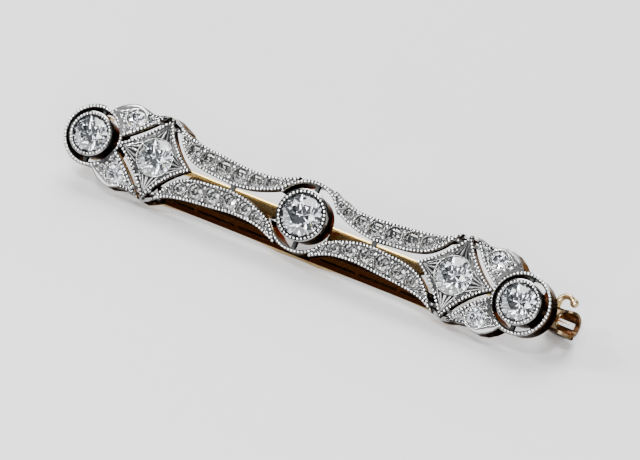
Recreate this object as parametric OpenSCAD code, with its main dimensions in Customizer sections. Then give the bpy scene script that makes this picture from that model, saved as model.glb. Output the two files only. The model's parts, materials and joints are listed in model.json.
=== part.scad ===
// Bar brooch in platinum-fronted gold: a pierced, domed face with a round diamond in a collet
// at its middle and at each end, two four-pointed stars, four pavé arms and four side leaves,
// a pierced gallery behind, and a hinged pin stem with a roll-over catch.
// Each shape is first drawn flat: x along the brooch, y across it, z out of its face, with the
// end rings' rims near z = 0. rest_pose() then lays the whole brooch on its lower edge.

/* [Face] */
// Distance between the centres of the two end rings
ring_pitch = 52; // [51.5:0.1:52.5]
// Height of the crest of the domed face
crest_z = 0.7; // [0.6:0.05:0.8]
// Radius of the dome across the face
dome_r = 11; // [10.5:0.1:12]
// Thickness of the pierced face
face_t = 1.0; // [0.9:0.05:1.1]
// Width of the pierced line between a star and its side leaf
pierced_gap = 0.54; // [0.46:0.02:0.58]
// Half of the distance between the upper and lower tips of a star
star_half_h = 4.68; // [4.6:0.02:4.76]
// Half of the distance between the inner and outer tips of a star
star_half_l = 4.35; // [4.25:0.05:4.4]
// How far each side of a star bows in
star_bow = 0.42; // [0.3:0.02:0.5]

/* [Stones] */
// Diameter of the centre diamond
centre_d = 4.7; // [4.5:0.1:4.8]
// Diameter of each end diamond
end_d = 4.05; // [3.9:0.05:4.1]
// Diameter of the diamond in each star
star_d = 4.05; // [3.6:0.05:4.2]
// Diameter of the diamond in each side leaf
leaf_d = 2.1; // [1.8:0.1:2.2]
// Clearance round each stone in its seat
seat_gap = 0.04; // [0.03:0.01:0.06]

/* [Rings and collets] */
// Outer radius of an end ring
ring_r = 3.46; // [3.42:0.01:3.5]
// How far below the brooch's centre line the end rings sit
ring_drop = 0.14; // [0:0.02:0.16]
// Width of an end ring's rim
ring_w = 0.52; // [0.45:0.01:0.56]
// Depth from the rims to the back edge of the gallery
gallery_d = 2.95; // [2.85:0.05:3.05]
// Outer radius of an end collet
end_collet_r = 2.47; // [2.42:0.01:2.5]
// Outer radius of the centre collet
centre_collet_r = 2.87; // [2.8:0.01:2.9]
// Height of the collets' rims
collet_z = 1.05; // [0.9:0.05:1.1]
// Radius of the middle of the open ring round the centre collet
arc_r = 3.82; // [3.78:0.01:3.86]

/* [Pin and catch] */
// Radius of the pin stem
stem_r = 0.4; // [0.35:0.01:0.4]
// Radius of the hinge barrel
hinge_r = 0.95; // [0.85:0.05:1]
// Depth of the hinge's axis behind the rims
hinge_d = 4.75; // [4.6:0.05:4.9]
// Half of the length of the hinge barrel
hinge_half = 2.5; // [2.3:0.1:2.6]
// Radius of the rivet through the hinge
rivet_r = 0.32; // [0.28:0.01:0.34]
// Largest radius of the catch, at its flared mouth
catch_mouth_r = 1.55; // [1.5:0.01:1.6]
// Length of the catch from its barrel's inner end to the lip of its scoop
scoop_l = 2.5; // [2.4:0.05:2.6]

/* [Pose] */
// Angle of the face's normal above level as the brooch lies
face_lift = 35; // [34:0.5:36]

/* [Hidden] */
$fn = 64;
curve_steps = 5;
end_x = ring_pitch / 2;
star_x = end_x - 7.85;
dome_z = crest_z - dome_r;
pin_y = 0.1;
rail_t = 0.42;

// The lower star tips' feet and the catch's mouth touch the surface that the brooch lies on, and
// are worn flat there by foot_flat.
foot_y = 4.85;
foot_d = 3.36;
foot_flat = 0.06;
support = cos(face_lift) * foot_y + sin(face_lift) * foot_d;
hinge_x = -(end_x + 1.45);
catch_x = end_x + 1.65;
catch_d = (support - catch_mouth_r + cos(face_lift) * pin_y) / sin(face_lift);
stem_tip_x = catch_x + 1.75;
stem_fall = atan((catch_d - hinge_d) / (stem_tip_x - hinge_x));
stem_l = (stem_tip_x - hinge_x) / cos(stem_fall);
catch_reach = 3.25;
// Slot along the catch's back, wide enough for the thin end of the stem
catch_slot_w = 0.64;
middle_x = (catch_x + catch_reach - end_x - ring_r) / 2;

// One arm, in the quarter with x and y positive. Columns: x, y of each edge from the pointed
// outer tip to the free inner tip, and x, y, diameter of its stones.
arm_outer_edge = [[17.15, 4.5], [15.6, 3.62], [13.4, 3.17], [10.4, 2.88], [7.8, 2.64], [6.2, 2.66],
                  [4.6, 2.85], [3.2, 3.3], [2.15, 3.8]];
arm_inner_edge = [[2.15, 3.8], [2.5, 2.75], [3.5, 1.68], [5.2, 0.92], [6.8, 0.46], [8.6, 0.26], [10.6, 0.4],
                  [12.7, 0.62], [14.5, 1.2], [15.8, 2.3], [16.55, 3.5], [17.15, 4.5]];
arm_stones = [[14.2, 2.2, 1.4], [12.36, 1.84, 1.7], [10.33, 1.62, 1.78], [8.3, 1.5, 1.7],
              [6.4, 1.62, 1.5], [4.66, 2.02, 1.12]];
// One side leaf: x, y of its outer edge from the tip beside the star to the end ring.
leaf_outer_edge = [[19.15, 4.72], [19.9, 4.42], [20.7, 4.34], [21.5, 4.5], [22.4, 4.76], [23.3, 4.56],
                   [24.2, 4.0], [24.85, 3.3]];
leaf_stone = [22.0, 3.25];
// Leaning gallery wall under a lower arm: x, depth past its straight back edge.
wall_back_edge = [[-0.05, 0.48], [1.3, 0.52], [2.5, 0.58], [3.4, 0.42], [4.8, 0.1], [7, 0], [12, 0],
                  [13.8, 0.06], [15.3, 0.22], [17, 0.42]];
// Windows in that wall: x of each end.
wall_windows = [[3.1, 6.9], [7.85, 11.9], [12.85, 15.9]];

ARM_SIDES = [[1, 1], [1, -1], [-1, 1], [-1, -1]];
ARM_NAMES = ["upper_right", "lower_right", "upper_left", "lower_left"];
ARM_STONE_NODES = [for (q = [0:3]) for (i = [0:len(arm_stones) - 1])
    str("stone_arm_", ARM_NAMES[q], "_", i + 1)];
LEAF_STONE_NODES = [for (q = [0:3]) str("stone_leaf_", ARM_NAMES[q])];

// Height of the domed face at a distance y from the centre line.
function dome(y) = dome_z + sqrt(dome_r * dome_r - y * y);

// Catmull-Rom curve through knots k, leaving out its last point.
function knot(k, i) = k[max(0, min(len(k) - 1, i))];
function blend(a, b, c, d, t) = 0.5 * (2 * b + (c - a) * t + (2 * a - 5 * b + 4 * c - d) * t * t
    + (3 * b - a - 3 * c + d) * t * t * t);
function curve(k) = [for (i = [0:len(k) - 2]) for (j = [0:curve_steps - 1])
    blend(knot(k, i - 1), k[i], k[i + 1], knot(k, i + 2), j / curve_steps)];

// Arc from p to q that bows by s to its left, leaving out its last point.
function bowed(p, q, s, n = 7) = let (
    c = norm(q - p),
    r = (c * c / 4 + s * s) / (2 * s),
    u = (q - p) / c,
    left = [-u[1], u[0]],
    mid = (p + q) / 2 + left * (s - r),
    half = asin(c / 2 / r)
) [for (i = [0:n - 1]) let (a = half * (2 * i / n - 1)) mid + r * (left * cos(a) + u * sin(a))];

star_tips = [[star_x - star_half_l, 0], [star_x, star_half_h], [star_x + star_half_l + 0.35, 0],
             [star_x, -star_half_h]];
function star_outline() = [for (i = [0:3]) each bowed(star_tips[i], star_tips[(i + 1) % 4], -star_bow)];
function arm_outline() = concat(curve(arm_outer_edge), curve(arm_inner_edge));

// A leaf runs along its outer edge, round the end ring's rim, and back beside the star.
function leaf_outline() = let (
    rim = ring_r - ring_w / 2,
    beside = [for (p = bowed(star_tips[2], star_tips[1], star_bow)) p + [0.72, 0.69] * pierced_gap / 0.98]
) concat(
    curve(leaf_outer_edge),
    [for (a = [108:12:168]) [end_x + rim * cos(a), rim * sin(a)]],
    [for (i = [1:len(beside) - 1]) beside[i]],
    [star_tips[1] + [0.5, 0.1]]
);

// Everything drawn so far turns about the long axis and drops until it touches its surface,
// with the middle of its footprint at the origin.
module rest_pose() {
    translate([-middle_x, -0.45 * catch_d * cos(face_lift), support - foot_flat])
        rotate([90 - face_lift, 0, 0])
            children();
}

// Places a thing on the domed face at x, y, square to the dome.
module on_dome(x, y) {
    translate([x, y, dome(y)])
        rotate([-asin(y / dome_r), 0, 0])
            children();
}

module quarters() {
    for (s = ARM_SIDES)
        mirror([s[0] < 0 ? 1 : 0, 0, 0])
            mirror([0, s[1] < 0 ? 1 : 0, 0])
                children();
}

module halves() {
    for (m = [0, 1])
        mirror([m, 0, 0])
            children();
}

// The lower half of a thing drawn with y positive.
module lower() {
    mirror([0, 1, 0]) children();
}

// Everything that lies deeper than t under the domed face.
module under_dome(t) {
    translate([-40 - t, 0, dome_z])
        rotate([0, 90, 0])
            cylinder(r = dome_r - t, h = 80 + 2 * t, $fn = 180);
}

module dome_shell() {
    difference() {
        under_dome(0);
        under_dome(face_t);
    }
}

module face_blanks() {
    quarters() {
        linear_extrude(height = 6, center = true) polygon(arm_outline());
        linear_extrude(height = 6, center = true) polygon(leaf_outline());
    }
    halves() linear_extrude(height = 6, center = true) polygon(star_outline());
}

// Seat of a stone of diameter d, cut straight through the face.
module seat(d) {
    translate([0, 0, -2]) cylinder(d = d + 2 * seat_gap, h = 4);
}

module face() {
    difference() {
        intersection() {
            face_blanks();
            dome_shell();
        }
        quarters() {
            for (s = arm_stones) on_dome(s[0], s[1]) seat(s[2]);
            on_dome(leaf_stone[0], leaf_stone[1]) seat(leaf_d);
        }
        halves() translate([star_x, 0, 0]) seat(star_d);
    }
}

// Small bars that tie the face's pieces together across the pierced lines.
module ties() {
    tie_w = 0.36;
    tie_t = 0.5;
    quarters() {
        translate([16.5, 3.46, dome(3.6) - 0.12 - tie_t]) cube([1.15, tie_w, tie_t]);
        translate([18.85, 3.5, dome(3.6) - 0.12 - tie_t]) cube([1.25, tie_w, tie_t]);
    }
    halves() translate([8.35, -0.5, crest_z - 0.15 - tie_t]) cube([0.5, 1, tie_t]);
}

// Tall wall of an end ring, with its windows and the struts that hold the collet.
module end_ring() {
    window_w = 1.8;
    window_h = 0.55;
    strut_w = 0.42;
    strut_t = 0.6;
    back_r = ring_r - 0.22;
    translate([end_x, -ring_drop, 0]) {
        difference() {
            rotate_extrude()
                polygon([[back_r - 0.42, -gallery_d], [back_r - 0.08, -gallery_d], [back_r, -gallery_d + 0.1],
                         [ring_r, 0.02], [ring_r - 0.1, 0.2], [ring_r - ring_w + 0.1, 0.2],
                         [ring_r - ring_w, 0.02]]);
            translate([0.2 - window_w / 2, -ring_r - 1, -2.1]) cube([window_w, 2 * ring_r + 2, window_h]);
        }
        for (a = [0:90:270])
            rotate([0, 0, a])
                translate([end_collet_r - 0.25, -strut_w / 2, -0.95]) cube([0.75, strut_w, strut_t]);
    }
}

// A collet: r its outer radius, d its stone's diameter, deep its depth under the rims.
module collet(r, d, deep) {
    inner = d / 2 + seat_gap;
    girdle = collet_z - 0.22;
    rotate_extrude()
        polygon([[inner, collet_z], [r - 0.08, collet_z], [r, collet_z - 0.08], [r, collet_z - 0.7],
                 [r - 0.22, -deep], [inner - 0.55, -deep], [inner - 0.55, girdle - 0.7],
                 [inner, girdle - 0.12]]);
}

// The open ring round the centre collet: two tall arcs, above and below, and their struts.
module centre_arcs() {
    span = 130;
    arc_w = 0.38;
    strut_w = 0.4;
    for (side = [0, 180])
        rotate([0, 0, side + 90 - span / 2])
            difference() {
                rotate_extrude(angle = span)
                    polygon([[arc_r - arc_w / 2, -3.6], [arc_r + arc_w / 2, -3.6], [arc_r + arc_w / 2, 0.12],
                             [arc_r - arc_w / 2, 0.12]]);
                for (a = [-17, 17])
                    rotate([0, 0, span / 2 + a])
                        translate([arc_r - 1, -0.5, -2.7]) cube([2, 1, 0.5]);
            }
    for (side = [90, 270])
        rotate([0, 0, side])
            translate([centre_collet_r - 0.3, -strut_w / 2, -1]) cube([1.1, strut_w, 0.6]);
}

// Slot with round ends, from x0 to x1 and h high, its lower edge at y = 0.
module slot(x0, x1, h) {
    translate([x0, 0]) square([x1 - x0, h]);
    for (x = [x0, x1]) translate([x, h / 2]) circle(d = h, $fn = 24);
}

// Flat wall of the gallery under a lower arm, which leans out to its straight back edge and runs
// on as a rail behind the centre.
module leaning_gallery() {
    slant = 27;
    profile = concat([[-0.05, 0.1], [1.4, 0.2], [2.5, 2.6], [17, 2.6]],
                     [for (i = [len(wall_back_edge) - 1:-1:0])
                         [wall_back_edge[i][0], -wall_back_edge[i][1]]]);
    intersection() {
        translate([0, 4.12, -gallery_d + 0.1])
            rotate([90 + slant, 0, 0])
                linear_extrude(height = rail_t)
                    difference() {
                        polygon(profile);
                        for (w = wall_windows) translate([0, 1.0]) slot(w[0], w[1], 0.58);
                    }
        under_dome(0.45);
    }
}

// Upright wall of the gallery under an upper arm, which follows the arm's outer edge.
module upright_gallery() {
    edge = [for (p = curve(arm_outer_edge)) if (p[0] > 2.9 && p[0] < 17) p];
    strip = concat(edge, [for (i = [len(edge) - 1:-1:0]) edge[i] - [0, rail_t + 0.02]]);
    difference() {
        intersection() {
            linear_extrude(height = 9, center = true) polygon([for (p = strip) p - [0, 0.03]]);
            under_dome(0.5);
            translate([0, 0, -gallery_d]) cube([20, 8, 4]);
        }
        translate([0, 6, -2.1])
            rotate([90, 0, 0])
                linear_extrude(height = 5)
                    for (w = wall_windows) slot(w[0], w[1], 0.58);
    }
}

// Leaning bar behind the lower arms from star to star, which rises to them beside the centre
// and beside each star.
module back_bar() {
    lean = 22;
    half_profile = [[0, 0.66], [2.75, 0.66], [3.3, 2.9], [6.6, 2.9], [7.1, 0.6], [11, 0.6], [11.4, 2.9],
                    [14.2, 2.9], [14.6, 0.4], [14.1, 0], [0, 0]];
    lower()
        halves()
            intersection() {
                translate([0, 0.42, -gallery_d])
                    rotate([90 - lean, 0, 0])
                        linear_extrude(height = 0.32)
                            polygon([for (p = half_profile) [max(p[0], -0.2), p[1]]]);
                under_dome(face_t - 0.12);
            }
}

// Upright wall under a star's tip and round the side leaf, down to the foot.
module end_gallery() {
    foot = [[16.2, 3.95], [17.2, 4.42], [18.15, 4.85], [18.9, 4.72], [19.6, 4.5]];
    outer = concat(foot, [for (i = [2:len(leaf_outer_edge) - 1]) leaf_outer_edge[i]]);
    inner = [for (i = [len(outer) - 1:-1:0]) outer[i] - [i > 8 ? 0.3 : 0.06, rail_t]];
    side_profile = [[16, 1], [16, -3.15], [17.2, -foot_d], [19, -foot_d], [20.2, -3.1], [21.5, -gallery_d],
                    [25.2, -gallery_d], [25.2, 1]];
    window_h = 0.55;
    intersection() {
        linear_extrude(height = 9, center = true) polygon(concat(outer, inner));
        translate([0, 6, 0])
            rotate([90, 0, 0])
                linear_extrude(height = 6)
                    difference() {
                        polygon(side_profile);
                        translate([20.1, -2.3]) square([3.7, window_h]);
                        for (x = [17.2, 18.75]) translate([x, -2]) circle(d = 0.5, $fn = 24);
                    }
        under_dome(0.55);
    }
    // Shelf that carries the leaf and the star's tip on the wall
    translate([0, 0, dome(4.5) - 1.25])
        linear_extrude(height = 0.45)
            polygon([[16.6, 3.75], [17.2, 4.35], [18.15, 4.78], [19.6, 4.45], [20.6, 4.3],
                     [20.4, 3.9], [19.4, 4.0],
                     [18.2, 4.15], [17.1, 3.6]]);
}

// Part of a disc across an end ring's back, which carries the hinge or the catch.
module ring_plate() {
    plate_r = ring_r - 0.35;
    from_x = 1.2;
    half = acos(from_x / plate_r);
    translate([end_x, -ring_drop, -gallery_d])
        linear_extrude(height = 0.45)
            polygon([for (a = [-half:half / 8:half]) plate_r * [cos(a), sin(a)]]);
}

module hinge_knuckles() {
    slack = 0.72;
    for (side = [-1, 1])
        translate([hinge_x, pin_y + side * (slack + hinge_half) / 2, -hinge_d])
            rotate([90, 0, 0])
                cylinder(r = hinge_r, h = hinge_half - slack, center = true);
    // Webs from the barrel's ends to the plate across the ring
    for (side = [-1, 1])
        translate([hinge_x - 0.35, pin_y + side * (slack + hinge_half - 0.4) / 2
                                      - (hinge_half - slack - 0.4) / 2,
                   -hinge_d + 0.5])
            cube([0.8, hinge_half - slack - 0.4, hinge_d - gallery_d - 0.3]);
}

// Shell of the catch: a round barrel, open at the back for the stem, that flares into a scoop
// with an open front and a whole lip.
module catch_shell() {
    barrel_l = 0.75;
    flare_l = 1.9;
    slot_l = 1.95;
    wall = 0.26;
    barrel_r = 1.32;
    // Edge of the open front: distance along the barrel, height over its axis
    front_edge = [[0.4, 1.4], [0.6, 0.8], [0.85, 0.4], [1.15, 0.1], [1.55, -0.12], [flare_l, -0.4],
                  [2.12, -0.7], [2.3, -1.0], [2.42, -1.25], [2.48, -1.42], [scoop_l, -1.5]];
    difference() {
        rotate([0, 90, 0])
            rotate_extrude()
                polygon([[barrel_r - wall, 0], [barrel_r, 0], [barrel_r, barrel_l], [catch_mouth_r, flare_l],
                         [catch_mouth_r, scoop_l], [catch_mouth_r - wall, scoop_l],
                         [catch_mouth_r - wall, flare_l],
                         [barrel_r - wall, barrel_l]]);
        translate([-1, -catch_slot_w / 2, -3]) cube([1 + slot_l, catch_slot_w, 3]);
        translate([0, 3, 0])
            rotate([90, 0, 0])
                linear_extrude(height = 6)
                    polygon(concat(front_edge, [[scoop_l + 1, -1.5], [scoop_l + 1, 3], [0.4, 3]]));
    }
}

// The leg that carries the catch's barrel on the ring's plate, and the broad plate with a slot
// that runs on from its scoop.
module catch_legs() {
    leg_t = 0.7;
    plate_t = 0.33;
    top = catch_d - 1.2;
    translate([0, pin_y + leg_t / 2, 0])
        rotate([90, 0, 0])
            linear_extrude(height = leg_t)
                polygon([[catch_x - 0.4, -gallery_d + 0.4], [catch_x - 0.4, -top + 0.5],
                         [catch_x, -top + 0.3],
                         [catch_x, -top], [catch_x + 0.5, -top], [catch_x + 0.6, -4.3],
                         [catch_x + 0.6, -gallery_d + 0.4]]);
    translate([catch_x, pin_y - 1.22, 0])
        rotate([90, 0, 0])
            linear_extrude(height = plate_t)
                difference() {
                    polygon([[0.3, -gallery_d + 0.4], [0.7, -4], [0.8, -catch_d + 0.1],
                             [scoop_l - 0.1, -catch_d + 0.1],
                             [2.85, -7.1], [3.15, -6.3], [catch_reach, -5.3],
                             [3.05, -4.2], [2.3, -gallery_d + 0.4]]);
                    translate([1.45, -6.2]) square([0.6, 1.85]);
                }
}

module frame_body() {
    difference() {
        union() {
            face();
            ties();
            halves() end_ring();
            for (x = [-end_x, end_x]) translate([x, -ring_drop, 0]) collet(end_collet_r, end_d, 2.5);
            collet(centre_collet_r, centre_d, 2.4);
            centre_arcs();
            quarters() end_gallery();
            halves() {
                upright_gallery();
                lower() leaning_gallery();
            }
            back_bar();
            halves() ring_plate();
            hinge_knuckles();
            translate([catch_x, pin_y, -catch_d]) catch_shell();
            catch_legs();
        }
        translate([hinge_x, 0, -hinge_d])
            rotate([90, 0, 0])
                cylinder(r = rivet_r + 0.02, h = 12, center = true);
    }
}

module frame() {
    color([0.86, 0.86, 0.87])
        difference() {
            rest_pose() frame_body();
            translate([-50, -50, -10]) cube([100, 100, 10]);
        }
}

module hinge_rivet() {
    color([0.80, 0.62, 0.36])
        rest_pose()
            translate([hinge_x, pin_y, -hinge_d])
                rotate([90, 0, 0])
                    cylinder(r = rivet_r, h = 2 * hinge_half - 0.1, center = true);
}

// Stem, thinned to a point over its last stretch, with the knuckle that it turns on.
module pin_stem() {
    taper_l = 12;
    knuckle_w = 1.34;
    color([0.86, 0.68, 0.42])
        rest_pose()
            translate([hinge_x, pin_y, -hinge_d])
                difference() {
                    union() {
                        rotate([90, 0, 0]) cylinder(r = hinge_r, h = knuckle_w, center = true);
                        rotate([0, 90 + stem_fall, 0]) {
                            translate([0, 0, hinge_r - 0.3])
                                cylinder(r = stem_r, h = stem_l - taper_l - hinge_r + 0.3);
                            translate([0, 0, stem_l - taper_l]) cylinder(r1 = stem_r, r2 = 0.05, h = taper_l);
                        }
                    }
                    rotate([90, 0, 0]) cylinder(r = rivet_r + 0.05, h = 3, center = true);
                }
}

// Sleeve that turns inside the catch, with the crooked band of its thumb lever and a ball at its end.
module catch_lever() {
    sleeve_r = 1.02;
    sleeve_l = 0.8;
    bore_r = 0.62;
    collar_w = 0.42;
    arm_w = 1.0;
    arm_t = 0.6;
    crook_r = 0.86;
    color([0.84, 0.66, 0.40])
        rest_pose()
            translate([catch_x, pin_y, -catch_d])
                difference() {
                    union() {
                        translate([-0.3, 0, 0]) rotate([0, 90, 0]) cylinder(r = sleeve_r, h = sleeve_l + 0.2);
                        translate([-0.1 - collar_w, 0, 0]) rotate([0, 90, 0]) cylinder(r = 1.4, h = collar_w);
                        translate([-0.1 - collar_w, 0.8, -arm_w / 2]) cube([collar_w, 1.1, arm_w]);
                        translate([crook_r - 0.1 - collar_w / 2, 1.85, 0])
                            rotate([0, 0, 30])
                                rotate_extrude(angle = 150)
                                    translate([crook_r, 0]) {
                                        half = (arm_w - arm_t) / 2;
                                        square([arm_t, 2 * half], center = true);
                                        for (y = [-half, half]) translate([0, y]) circle(d = arm_t, $fn = 24);
                                    }
                        translate([2 * crook_r - 0.36, 2.28, 0]) sphere(r = 0.48, $fn = 32);
                    }
                    translate([-1, 0, 0]) rotate([0, 90, 0]) cylinder(r = bore_r, h = 4);
                    translate([-1, -catch_slot_w / 2, -3]) cube([4, catch_slot_w, 3]);
                }
}

// Old-cut round diamond of diameter d, its girdle's top at z = 0: table, eight star facets,
// eight kites and sixteen halves on the crown, and the same below without a table.
module diamond(d) {
    r = d / 2;
    band = 0.03 * d;
    table = [0.52 * r, 0.16 * d];
    shoulder = [0.79 * r, 0.085 * d];
    deep = [0.34 * r, -0.31 * d - band];
    culet = -0.43 * d - band;
    ring8 = [for (k = [0:7]) 45 * k];
    points = concat(
        [for (a = ring8) [table[0] * cos(a + 22.5), table[0] * sin(a + 22.5), table[1]]],
        [for (a = ring8) [shoulder[0] * cos(a), shoulder[0] * sin(a), shoulder[1]]],
        [for (j = [0:15]) [r * cos(22.5 * j), r * sin(22.5 * j), 0]],
        [for (j = [0:15]) [r * cos(22.5 * j), r * sin(22.5 * j), -band]],
        [for (a = ring8) [deep[0] * cos(a), deep[0] * sin(a), deep[1]]],
        [[0, 0, culet]]
    );
    faces = concat(
        [[for (k = [7:-1:0]) k]],
        [for (k = [0:7]) [(k + 7) % 8, k, 8 + k]],
        [for (k = [0:7]) each [[k, 16 + 2 * k + 1, 8 + k], [k, 8 + (k + 1) % 8, 16 + 2 * k + 1]]],
        [for (k = [0:7]) each
            [[8 + k, 16 + 2 * k, 16 + (2 * k + 15) % 16], [8 + k, 16 + 2 * k + 1, 16 + 2 * k]]],
        [for (j = [0:15]) each
            [[16 + j, 16 + (j + 1) % 16, 32 + (j + 1) % 16], [16 + j, 32 + (j + 1) % 16, 32 + j]]],
        [for (k = [0:7]) each
            [[48 + k, 32 + (2 * k + 15) % 16, 32 + 2 * k], [48 + k, 32 + 2 * k, 32 + 2 * k + 1]]],
        [for (k = [0:7]) each [[56, 48 + k, 32 + 2 * k + 1], [56, 32 + 2 * k + 1, 48 + (k + 1) % 8]]]
    );
    color([0.9, 0.93, 0.97]) polyhedron(points, faces);
}

module collet_stone(x, y, d) {
    rest_pose() translate([x, y, collet_z - 0.22]) diamond(d);
}

module face_stone(x, y, d) {
    rest_pose() on_dome(x, y) translate([0, 0, -0.12]) diamond(d);
}

frame();
hinge_rivet();
pin_stem();
catch_lever();
collet_stone(0, 0, centre_d);  // stone_centre
collet_stone(-end_x, -ring_drop, end_d);  // stone_end_left
collet_stone(end_x, -ring_drop, end_d);  // stone_end_right
face_stone(-star_x, 0, star_d);  // stone_star_left
face_stone(star_x, 0, star_d);  // stone_star_right
for (q = [0:3]) {
    side = ARM_SIDES[q];
    face_stone(side[0] * leaf_stone[0], side[1] * leaf_stone[1], leaf_d);
    for (i = [0:len(arm_stones) - 1]) {
        face_stone(side[0] * arm_stones[i][0], side[1] * arm_stones[i][1], arm_stones[i][2]);
    }
}
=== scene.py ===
"""Looks of a diamond bar brooch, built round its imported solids.

Shapes are worked out flat on the brooch's face, in millimetres: x along the brooch, y across it
and a height over the domed face. laid() then carries them to where the brooch lies, in metres.
"""

import json
from collections import namedtuple
from functools import reduce
from types import SimpleNamespace

import bpy
import numpy as np
from mathutils import Matrix, Vector


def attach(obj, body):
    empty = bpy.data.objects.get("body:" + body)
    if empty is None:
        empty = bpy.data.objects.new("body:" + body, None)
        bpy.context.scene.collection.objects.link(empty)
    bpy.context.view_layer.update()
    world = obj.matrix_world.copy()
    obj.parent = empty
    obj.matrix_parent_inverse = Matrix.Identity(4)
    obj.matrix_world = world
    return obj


bl_info = {
    "name": "Diamond bar brooch",
    "version": (1, 0, 0),
    "blender": (4, 5, 0),
    "location": "3D View > Sidebar > Brooch",
    "description": "Millegrain borders, stone seats, grains and finishes of a diamond bar brooch",
    "category": "Object",
}

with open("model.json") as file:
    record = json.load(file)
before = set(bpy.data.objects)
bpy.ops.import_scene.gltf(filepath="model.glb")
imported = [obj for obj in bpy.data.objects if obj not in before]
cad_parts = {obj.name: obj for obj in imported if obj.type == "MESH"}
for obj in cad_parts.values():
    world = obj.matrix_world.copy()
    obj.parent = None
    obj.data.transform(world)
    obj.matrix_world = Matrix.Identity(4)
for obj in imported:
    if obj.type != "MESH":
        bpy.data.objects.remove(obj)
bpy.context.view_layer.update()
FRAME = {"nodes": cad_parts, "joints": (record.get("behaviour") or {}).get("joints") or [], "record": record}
MM_PER_M = 1000.0

# Sizes that the brooch's solids have, in millimetres on the flat face.
END_X = 26.0
RING_DROP = 0.14
RING_R = 3.46
COLLET_Z = 1.05
ARC_R = 3.82
ARC_Z = 0.12
RIM_Z = 0.2
CREST_Z = 0.7
DOME_R = 11.0
CENTRE_D = 4.7
END_D = 4.05
STAR_D = 4.05
LEAF_D = 2.1
STAR_X = 18.15
STAR_TIPS = np.array([[13.8, 0.0], [18.15, 4.68], [22.85, 0.0], [18.15, -4.68]])
STAR_BOW = 0.42
HINGE = np.array([-27.45, 0.1, -4.75])
ARM_OUTER_EDGE = np.array(
    [[17.15, 4.5], [15.6, 3.62], [13.4, 3.17], [10.4, 2.88], [7.8, 2.64], [6.2, 2.66],
     [4.6, 2.85], [3.2, 3.3], [2.15, 3.8]])
ARM_INNER_EDGE = np.array(
    [[2.15, 3.8], [2.5, 2.75], [3.5, 1.68], [5.2, 0.92], [6.8, 0.46], [8.6, 0.26], [10.6, 0.4],
     [12.7, 0.62], [14.5, 1.2], [15.8, 2.3], [16.55, 3.5], [17.15, 4.5]])
# The six stones of an arm, as x, y, diameter.
ARM_STONES = np.array(
    [[14.2, 2.2, 1.4], [12.36, 1.84, 1.7], [10.33, 1.62, 1.78], [8.3, 1.5, 1.7],
     [6.4, 1.62, 1.5], [4.66, 2.02, 1.12]])
LEAF_OUTER_EDGE = np.array(
    [[19.15, 4.72], [19.9, 4.42], [20.7, 4.34], [21.5, 4.5], [22.4, 4.76], [23.3, 4.56],
     [24.2, 4.0], [24.85, 3.3]])
LEAF_STONE = np.array([22.0, 3.25])
# A leaf's side by the star is the star's own, moved this way by the width of the pierced line.
STAR_TO_LEAF = np.array([0.72, 0.69]) / 0.98
PIERCED_LINE = 0.54

# Small stones and loose grains that fill the face, as x, y, diameter in one quarter.
LEAF_SIDE_STONES = np.array([[20.34, 3.62, 0.78], [23.5, 3.16, 0.72], [22.42, 1.72, 0.74]])
ARM_END_STONES = np.array([[15.42, 2.92, 0.66], [3.6, 2.5, 0.6]])
LEAF_GRAINS = np.array(
    [[21.12, 4.14, 0.28], [20.9, 2.9, 0.34], [23.1, 2.44, 0.36], [22.5, 1.16, 0.3],
     [22.74, 0.84, 0.22], [19.8, 4.06, 0.26], [19.52, 4.3, 0.18], [21.36, 2.18, 0.32],
     [23.94, 3.4, 0.26], [21.98, 1.94, 0.22], [22.92, 1.96, 0.24], [23.2, 2.78, 0.22],
     [21.66, 2.02, 0.2], [20.62, 3.2, 0.24], [23.62, 2.72, 0.2]])
ARM_TIP_GRAINS = np.array(
    [[16.02, 3.4, 0.26], [16.36, 3.74, 0.2], [14.86, 2.98, 0.2], [15.2, 2.32, 0.2],
     [3.12, 2.96, 0.26], [2.86, 3.28, 0.2], [4.02, 2.86, 0.2], [4.0, 1.96, 0.2]])
STAR_GRAINS = np.array(
    [[15.7, 1.02, 0.26], [20.66, 1.04, 0.26], [17.02, 2.34, 0.26], [19.28, 2.34, 0.26], [15.98, 1.36, 0.2],
     [20.36, 1.38, 0.2], [17.4, 2.66, 0.2], [18.92, 2.66, 0.2], [16.3, 1.7, 0.22], [20.04, 1.72, 0.22]])
TIE_GRAINS = np.array([[16.98, 3.64, 0.3], [19.52, 3.68, 0.3]])

# How pieces sit on the face: how deep they reach into it, how high the small stones stand over
# it, and the gap between a collet's stone and the lip round it.
SUNK = -0.12
SMALL_STONE_Z = 0.03
SEAT_GAP = 0.04

# Spans, in millimetres, over which the frame's metal changes from platinum to gold and its painted shade,
# highlights and reflection change. SKIN to WALLS are heights over the dome, RING_GAP to BACK_EDGE distances
# from an axis, and the last two are places along x.
SKIN = (-0.34, -0.28)
FORWARD_FACES = (-0.85, -0.75)
GAP_DEPTH = (-2.2, -1.2)
FLANKS = (-2.6, -1.4)
BACK = (-4.1, -3.8)
WALLS = (-6.0, -3.4)
RING_GAP = (3.1, 3.3)
CENTRE_GAP = (3.6, 3.8)
CATCH_BORE = (1.5, 1.6)
BACK_EDGE = (7.45, 7.55)
ARMS_END = (16.5, 17.5)
CATCH_START = (27.0, 27.2)

# How brightly the frame is painted, from 0 for painted shade in a hollow to 1 for its full colour with a
# painted highlight. A pair is for the start and the end of a span, the two painted shades are taken off on
# the catch, and platinum adds the last.
WALLS_SHINE = (0.64, 0.30)
FLANKS_SHINE = (0.30, 0.345)
BACK_EDGE_SHINE = (0.66, 0.0)
AWAY_SHINE = (0.0, 0.6)
INSIDE_SHINE = 0.5
CATCH_SHADE = (0.22, 0.0)
BORE_SHADE = 0.2
PLATINUM_SHINE = 0.24
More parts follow.
